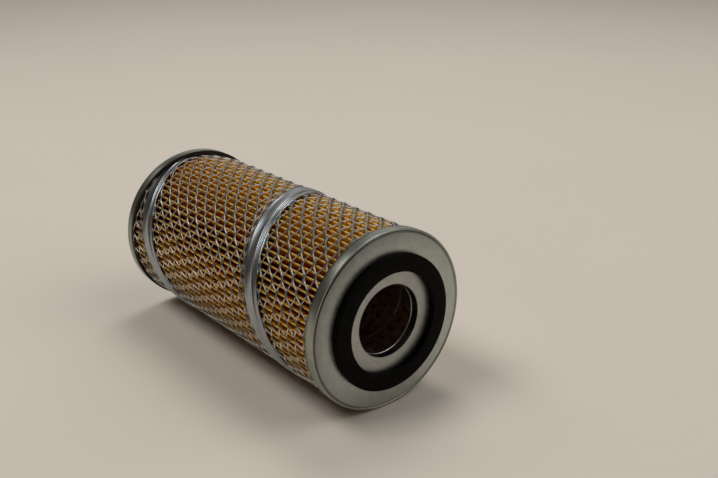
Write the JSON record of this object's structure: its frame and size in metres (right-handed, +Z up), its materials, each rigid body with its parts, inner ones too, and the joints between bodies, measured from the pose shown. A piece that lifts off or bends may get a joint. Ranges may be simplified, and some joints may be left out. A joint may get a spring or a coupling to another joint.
{
  "type": "oil filter element",
  "caption": "Cartridge oil filter element: pleated paper in an expanded-metal wrap between two pressed end caps, with a through bore and a rubber ring at each end.",
  "frame": {"origin": "on the surface that the element lies on, under the middle of its length", "axes": "+Y along the filter's axis from the near end cap to the far one, +Z up, +X across"},
  "size_m": [0.084, 0.1734, 0.084],
  "materials": {
    "zinc_cap": "satin zinc-plated sheet, faintly mottled",
    "gasket_rubber": "matt black moulded rubber",
    "adhesive": "cured plastisol",
    "expanded_zinc": "galvanised expanded metal",
    "seam_zinc": "galvanised sheet, burnished where it is folded",
    "filter_paper": "resin-treated filter paper",
    "clip_steel": "plain steel strip",
    "tube_steel": "oiled strip steel"
  },
  "bodies": {
    "root": {"near_end_cap": "zinc_cap", "far_end_cap": "zinc_cap", "near_gasket": "gasket_rubber", "far_gasket": "gasket_rubber", "near_adhesive": "adhesive", "far_adhesive": "adhesive", "outer_wrap": "expanded_zinc", "outer_wrap_seam": "seam_zinc", "pleated_paper": "filter_paper", "paper_seam_clip": "clip_steel", "centre_tube": "tube_steel", "centre_tube_seam": "tube_steel"}
  },
  "joints": []
}
